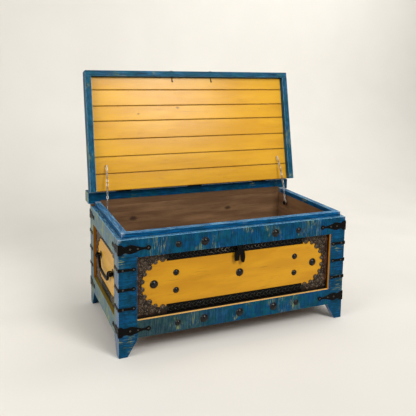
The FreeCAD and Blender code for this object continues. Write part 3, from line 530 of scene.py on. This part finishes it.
def dress_yellow_wood():
    """The inside of the lid and the panels."""
    knots = [(on_open_lid(-80 * MM, 373 * MM, LID_INSIDE), 7 * MM),
             (on_open_lid(-273 * MM, 347 * MM, LID_INSIDE), 5 * MM)]
    dress(("lid_lining_boards",),
          yellow_paint("yellow_lid", ALONG_X, srgb(224, 168, 40), srgb(210, 152, 34), 0.9, knots,
                       gloss=0.32, rough=0.2, cracked=0.35), 0.6 * MM, 1)
    dress(("front_panel", "back_panel"),
          yellow_paint("yellow_panels", ALONG_X, srgb(204, 146, 20), srgb(188, 130, 16)),
          0.5 * MM, 1)
    # the end panels' paler yellow is painted light, for the brighter light on the sides
    dress(("left_panel", "right_panel"),
          yellow_paint("yellow_ends", ALONG_Y, srgb(220, 170, 64), srgb(206, 152, 48)),
          0.5 * MM, 1)


def dress_brown_wood():
    """The linings, the floor and the batten in front of the rear rail."""
    back_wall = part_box("back_lining")[0].y
    lining_knots = [(Vector((-310 * MM, back_wall, 390 * MM)), 15 * MM),
                    (Vector((170 * MM, back_wall, 400 * MM)), 12 * MM)]
    dress([f"{face}_lining" for face in ("front", "back", "left", "right")],
          bare_wood("brown_lining", (16, 16, 1), srgb(98, 70, 46), srgb(138, 104, 72),
                    lining_knots), 0.8 * MM, 1)
    dress(("floor_boards",), bare_wood("brown_floor", (16, 1, 16), srgb(104, 68, 38),
                                       srgb(136, 92, 52)), 0.8 * MM, 1)
    dress(("floor_battens",),
          bare_wood("brown_battens", (1, 16, 1), srgb(104, 68, 38), srgb(136, 92, 52)), 0.8 * MM, 1)
    dress(("rear_batten",),
          bare_wood("brown_batten", ALONG_X, srgb(84, 60, 40), srgb(116, 84, 54)), 0.8 * MM, 1)


def dress_metal():
    """The ironwork, the studs, the corner plates and the chains."""
    iron = black_iron("iron")
    dress(("front_edge_strips", "side_edge_strips", "large_corner_straps",
           "narrow_corner_straps"), iron, 0.7 * MM)
    dress(("lock_bracket", "lock_toggle", "hinge_rail_leaves", "hinge_lid_leaves"), iron,
          0.6 * MM)
    dress(("left_handle", "right_handle", "handle_rosettes", "handle_staples", "hinge_pins",
           "chain_screws"), black_iron("iron_round", srgb(6, 6, 6), shine=0.34))
    dress(("iron_nails", "hinge_lid_nails"),
          black_iron("iron_nail_heads", srgb(66, 62, 56), srgb(144, 140, 130), shine=0.3,
                     rubbed=0.9))
    rail_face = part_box("front_top_rail")[0].y
    panel_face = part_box("front_panel")[0].y
    dress(("large_studs", "small_studs"), stud_iron("stud_iron", (rail_face, panel_face)))
    dress(("lid_studs",), stud_iron("lid_stud_iron", ()))
    dress(("front_corner_plates", "side_corner_plates"), bronze("bronze_plates"), 0.5 * MM)
    dress([name for name in nodes if "chain_" in name and name != "chain_screws"],
          bright_steel("chain_steel"))


# ---------------------------------------------------------------- raised metalwork

class Relief:
    """Raised work on a flat sheet, drawn in millimetres across and up from the sheet's origin."""

    def __init__(self, origin, across, up, out):
        self.mesh = bmesh.new()
        self.origin, self.across, self.up, self.out = origin, across, up, out

    def point(self, across, up, out=0.0):
        return self.origin + (self.across * across + self.up * up + self.out * out) * MM

    def wire(self, path, radius, sink=0.15, sides=8):
        """A bar half sunk in the sheet along a path, with tapered ends."""
        last = len(path) - 1
        rings = []
        for index, (across, up) in enumerate(path):
            before, after = path[max(index - 1, 0)], path[min(index + 1, last)]
            along = Vector((after[0] - before[0], after[1] - before[1])).normalized()
            side = Vector((-along.y, along.x))
            share = min(1.0, 0.35 + 3.0 * min(index, last - index) / last)
            ring = []
            for step in range(sides):
                angle = 2 * math.pi * step / sides
                offset = side * (radius * share * math.cos(angle))
                lift = radius * (share * math.sin(angle) - sink)
                place = self.point(across + offset.x, up + offset.y, lift)
                ring.append(self.mesh.verts.new(place))
            rings.append(ring)
        for first, second in zip(rings, rings[1:]):
            for step in range(sides):
                after = (step + 1) % sides
                self.mesh.faces.new((first[step], first[after], second[after], second[step]))
        self.mesh.faces.new(rings[0][::-1])
        self.mesh.faces.new(rings[-1])

    def boss(self, across, up, radius, height, stretch=1.0, angle=0.0, sides=10):
        """A low dome, stretched along its angle where asked, so that it can be a leaf."""
        top = self.mesh.verts.new(self.point(across, up, height))
        rings = []
        for share, rise in ((0.55, 0.82), (0.9, 0.42), (1.0, -0.2)):
            ring = []
            for step in range(sides):
                turn = 2 * math.pi * step / sides
                along = radius * share * stretch * math.cos(turn)
                side = radius * share * math.sin(turn)
                ring.append(self.mesh.verts.new(self.point(
                    across + along * math.cos(angle) - side * math.sin(angle),
                    up + along * math.sin(angle) + side * math.cos(angle), height * rise)))
            rings.append(ring)
        for step in range(sides):
            after = (step + 1) % sides
            self.mesh.faces.new((top, rings[0][step], rings[0][after]))
            for inner, outer in zip(rings, rings[1:]):
                self.mesh.faces.new((inner[step], outer[step], outer[after], inner[after]))
        self.mesh.faces.new(rings[-1][::-1])

    def scroll(self, across, up, radius, start, turns=1.6, hand=1, bar=1.2):
        """A spiral that winds in to a bead, starting from its outer end."""
        steps = int(12 * turns)
        path = []
        for step in range(steps + 1):
            share = step / steps
            angle = start + hand * 2 * math.pi * turns * share
            reach = radius * (1 - 0.78 * share)
            path.append((across + reach * math.cos(angle), up + reach * math.sin(angle)))
        self.wire(path, bar)
        self.boss(across, up, radius * 0.24, bar * 1.5, sides=8)

    def finish(self, name, material, body, slot):
        bmesh.ops.recalc_face_normals(self.mesh, faces=self.mesh.faces)
        data = bpy.data.meshes.new(name)
        self.mesh.to_mesh(data)
        self.mesh.free()
        data.shade_smooth()
        return piece(name, data, material, body)


def piece(name, data, material, body):
    """A new object of the chest that rides on a body and takes the given material."""
    obj = bpy.data.objects.new(name, data)
    bpy.context.scene.collection.objects.link(obj)
    data.materials.append(material)
    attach(obj, body)
    return obj


# The corner plates' lobes round the painted field: angle and radius.
LOBES = ((9, 9), (27, 8), (45, 11), (63, 8), (81, 11))
LOBE_REACH = 98
# Larger scrolls that fill the corner behind the lobes: distance and angle from the field's
# centre, and radius.
CORNER_SCROLLS = ((119, 15, 6.5), (120, 31, 8.5), (121, 46, 9.5), (120, 61, 8.5), (119, 76, 5.5),
                  (139, 37, 5.5), (142, 46, 8.5), (139, 55, 5.5), (159, 45, 6))
LEAF_TRIES = 420      # places tried for the small leaves between the scrolls
PLATE_REACH = 123
STRIP_HALF = 18
BORDER_INSET = 3.4
BORDER_BARS = ((0, 3.2), (8, 1.8))    # distance from the outer bar, and radius


def quarter_scrolls(relief, rng):
    """Scrollwork over one quarter of a panel's frame."""
    taken = []
    for index, (degrees, radius) in enumerate(LOBES):
        angle = math.radians(degrees)
        across, up = LOBE_REACH * math.cos(angle), LOBE_REACH * math.sin(angle)
        relief.scroll(across, up, radius - 1.6, angle, 1.5, 1 if index % 2 else -1, 1.4)
        taken.append((across, up, radius))
    for index, (reach, degrees, radius) in enumerate(CORNER_SCROLLS):
        angle = math.radians(degrees)
        across, up = reach * math.cos(angle), reach * math.sin(angle)
        relief.scroll(across, up, radius, angle + math.pi, 1.7, -1 if index % 2 else 1, 1.25)
        taken.append((across, up, radius))
    for _ in range(LEAF_TRIES):
        across, up = rng.uniform(4, PLATE_REACH - 9), rng.uniform(5, PLATE_REACH - 8)
        if math.hypot(across, up) < LOBE_REACH + 5:
            continue
        if any(math.hypot(across - a, up - b) < r + 2.6 for a, b, r in taken):
            continue
        turn = rng.uniform(0, math.pi)
        relief.boss(across, up, 1.5, 1.3, 1.9, turn, 8)
        taken.append((across, up, 1.6))


def strip_vine(relief, half_length, centre_up):
    """A wavy vine with a leaf in each bend."""
    wave, period, margin, spacing = STRIP_HALF * 0.42, 30, 3, 5
    count = int(2 * half_length / spacing)
    path = []
    for step in range(count + 1):
        across = -half_length + margin + 2 * (half_length - margin) * step / count
        path.append((across, centre_up + wave * math.sin(2 * math.pi * across / period)))
    relief.wire(path, 1.3)
    bends = int(half_length * 2 / period * 2)
    for bend in range(bends):
        across = -half_length + period / 2 * (bend + 0.5)
        hollow = -1 if math.sin(2 * math.pi * across / period) > 0 else 1
        relief.boss(across, centre_up + hollow * wave * 0.75, 2.4, 1.6, 1.7, hollow * 0.7)
        relief.boss(across + period / 4, centre_up + hollow * wave * 1.35, 1.5, 1.3, 1.4, 0.4)
        relief.boss(across - 3, centre_up - hollow * wave * 1.5, 1.4, 1.2, 1.5, -0.5)


def panel_relief():
    """Scrolls on the corner plates, vines on the strips and border bars at each panel's ends."""
    # The second colours are the painted highlights on the crests.
    plates_metal = raised_metal("bronze_scrolls", 0.515, 0.61, srgb(24, 19, 16),
                                srgb(154, 138, 118))
    strip_low, strip_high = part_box("front_edge_strips")
    rubbed = [(Vector((across * MM, strip_low.y, strip_high.z - 14 * MM)), 60 * MM)
              for across in (-85, 75)]
    vine_metal = raised_metal("iron_vines", 0.5, 0.6, srgb(16, 16, 14), srgb(62, 62, 55), rubbed)
    border_metal = bronze("bronze_border", srgb(70, 42, 30), srgb(132, 84, 58), 0.6)
    front_low, front_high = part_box("front_corner_plates")
    side_low, side_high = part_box("side_corner_plates")
    middle = (front_low.z + front_high.z) / 2
    half_open_up = (OPENING_HIGH - OPENING_LOW) / 2
    faces = [("front", X, -Y, -front_low.y, front_high.x),
             ("left", -Y, -X, -side_low.x, side_high.y),
             ("right", Y, X, side_high.x, side_high.y)]
    rng = random.Random(11)
    for face, across, out, distance, half_open in faces:
        centre = out * distance + Z * middle
        field = half_open / MM - PLATE_REACH
        for end in (-1, 1):
            for level, side in (("low", -1), ("high", 1)):
                relief = Relief(centre + across * (end * field * MM), across * end, Z * side, out)
                quarter_scrolls(relief, rng)
                place = "near" if end < 0 else "far"
                relief.finish(f"{face}_scrolls_{place}_{level}", plates_metal, "chest_body",
                              "bronze_plate")
        relief = Relief(centre, across, Z, out)
        for side in (-1, 1):
            level = side * (half_open_up / MM - STRIP_HALF)
            strip_vine(relief, field, level)
            for end in (-1, 1):
                relief.boss(end * (field + 2), level, 10.5, 1.6, sides=16)
                relief.scroll(end * (field + 2), level, 8.5, math.pi / 2, 1.4, end, 1.9)
        relief.finish(f"{face}_strip_vines", vine_metal, "chest_body", "forged_iron")
        relief = Relief(centre, across, Z, out)
        limit = half_open / MM - BORDER_INSET
        high = half_open_up / MM - BORDER_INSET
        steps = (-high, -high / 2, 0, high / 2, high)
        for side in (-1, 1):
            for reach, radius in BORDER_BARS:
                bar = [(side * (limit - reach), up) for up in steps]
                relief.wire(bar, radius, sink=-0.1)
        relief.finish(f"{face}_border", border_metal, "chest_body", "bronze_plate")


# A nail point's path: how far in front of the hinge it is, and how far to the side.
TIP_PATH = ((517, 0), (514, 0.2), (508, -0.4), (502, 0.5), (500, 2.2), (501, 3.6))
TIP_HEAD = (499.5, 1.0)


def lid_nail_tips():
    """The points of the lid studs' nails, bent over on the inside of the lid."""
    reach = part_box("lid_studs")[1].x - LID_STUD_RADIUS
    metal = black_iron("iron_tips", srgb(40, 32, 26))
    for name, across in (("left", -reach), ("right", reach)):
        origin = on_open_lid(across, 0, LID_INSIDE)
        front = on_open_lid(across, 100 * MM, LID_INSIDE)
        relief = Relief(origin, (front - origin).normalized(), X, LID_OPEN @ -Z)
        relief.wire(TIP_PATH, 2.8)
        relief.boss(*TIP_HEAD, 4.4, 3.0)
        relief.finish(f"lid_nail_tip_{name}", metal, "lid", "forged_iron")


# ---------------------------------------------------------------- camera, lights and floor

CAMERA_YAW, CAMERA_PITCH, CAMERA_ROLL = 23.22, -7.64, 1.06
CAMERA_PLACE = Vector((-945.12, -2236.76, 1106.15)) * MM
CAMERA_LENS = 48.36
CAMERA_SHIFT = (-0.0266, -0.165)


def place_camera():
    """A camera that stands to the left of the middle, a little above the open chest's rim."""
    yaw, pitch, roll = (math.radians(angle) for angle in (CAMERA_YAW, CAMERA_PITCH, CAMERA_ROLL))
    forward = Vector((math.sin(yaw) * math.cos(pitch), math.cos(yaw) * math.cos(pitch),
                      math.sin(pitch)))
    level_right = forward.cross(Z).normalized()
    level_up = level_right.cross(forward)
    right = level_right * math.cos(roll) + level_up * math.sin(roll)
    up = level_up * math.cos(roll) - level_right * math.sin(roll)
    data = bpy.data.cameras.new("camera")
    data.lens = CAMERA_LENS
    data.sensor_width = 36
    data.shift_x, data.shift_y = CAMERA_SHIFT
    data.clip_end = 50
    obj = bpy.data.objects.new("camera", data)
    bpy.context.scene.collection.objects.link(obj)
    turn = Matrix((right, up, -forward)).transposed().to_4x4()
    obj.matrix_world = Matrix.Translation(CAMERA_PLACE) @ turn
    bpy.context.scene.camera = obj


SURROUND_LIGHT, SURROUND_SEEN = 0.27, 0.78


def softbox(name, place, target, size, power):
    """A square area light at place that faces target."""
    data = bpy.data.lights.new(name, "AREA")
    data.shape = "SQUARE"
    data.size = size
    data.energy = power
    data.color = (1, 0.985, 0.965)
    obj = bpy.data.objects.new(name, data)
    bpy.context.scene.collection.objects.link(obj)
    obj.location = place
    obj.rotation_euler = (Vector(target) - Vector(place)).to_track_quat("-Z", "Y").to_euler()


def studio():
    """A pale sweep that curves up behind the chest, with painted shade towards the front, soft
    lights and an even surround.
    """
    half, near, far, curve, high = 6.0, -6.0, 2.6, 1.2, 5.0
    steps = 14
    profile = [(near, 0.0)]
    for step in range(steps + 1):
        angle = math.pi / 2 * step / steps
        profile.append((far - curve + curve * math.sin(angle), curve - curve * math.cos(angle)))
    profile.append((far, high))
    mesh = bpy.data.meshes.new("studio_sweep")
    points = [(side * half, back, up) for back, up in profile for side in (-1, 1)]
    faces = [(2 * i, 2 * i + 1, 2 * i + 3, 2 * i + 2) for i in range(len(profile) - 1)]
    mesh.from_pydata(points, [], faces)
    mesh.shade_smooth()
    sweep = bpy.data.objects.new("studio_sweep", mesh)
    bpy.context.scene.collection.objects.link(sweep)
    g = Graph("studio_paper")
    grain = g.noise(0.4, detail=2)
    colour = g.mix(g.fade(grain, 0.3, 0.7), srgb(238, 235, 228), srgb(235, 232, 225))
    # painted shade: the paper darker towards the front
    painted_front_shade = g.fade(g.parts(g.place)[1], -1.4, 0.6, 0.75, 0.0)
    colour = g.mix(painted_front_shade, colour, srgb(198, 196, 190))
    mesh.materials.append(g.finish(colour, 0.9))

    world = bpy.data.worlds.new("surround")
    bpy.context.scene.world = world
    world.use_nodes = True
    tree = world.node_tree
    background = tree.nodes["Background"]
    background.inputs["Color"].default_value = (1.0, 0.99, 0.975, 1)
    seen = tree.nodes.new("ShaderNodeLightPath").outputs["Is Camera Ray"]
    strength = tree.nodes.new("ShaderNodeMapRange")
    tree.links.new(seen, strength.inputs["Value"])
    strength.inputs["To Min"].default_value = SURROUND_LIGHT
    strength.inputs["To Max"].default_value = SURROUND_SEEN
    tree.links.new(strength.outputs[0], background.inputs["Strength"])
    centre = (0, 0, 0.5)
    softbox("key_light", (0.5, -2.5, 2.9), centre, 1.1, 46)
    softbox("left_light", (-2.6, -0.9, 1.9), centre, 1.6, 38)
    softbox("lid_glow", (0.8, -2.4, 1.98), (0, 0.3, 0.8), 0.9, 27)
    softbox("top_light", (0.2, 0.2, 3.2), centre, 2.4, 16)
    softbox("wall_light", (2.3, 0.4, 3.0), (1.3, 2.6, 1.5), 2.0, 46)
    bpy.context.scene.view_settings.view_transform = "Standard"


# ---------------------------------------------------------------- build

dress_blue_wood()
dress_yellow_wood()
dress_brown_wood()
dress_metal()
panel_relief()
lid_nail_tips()
studio()
place_camera()
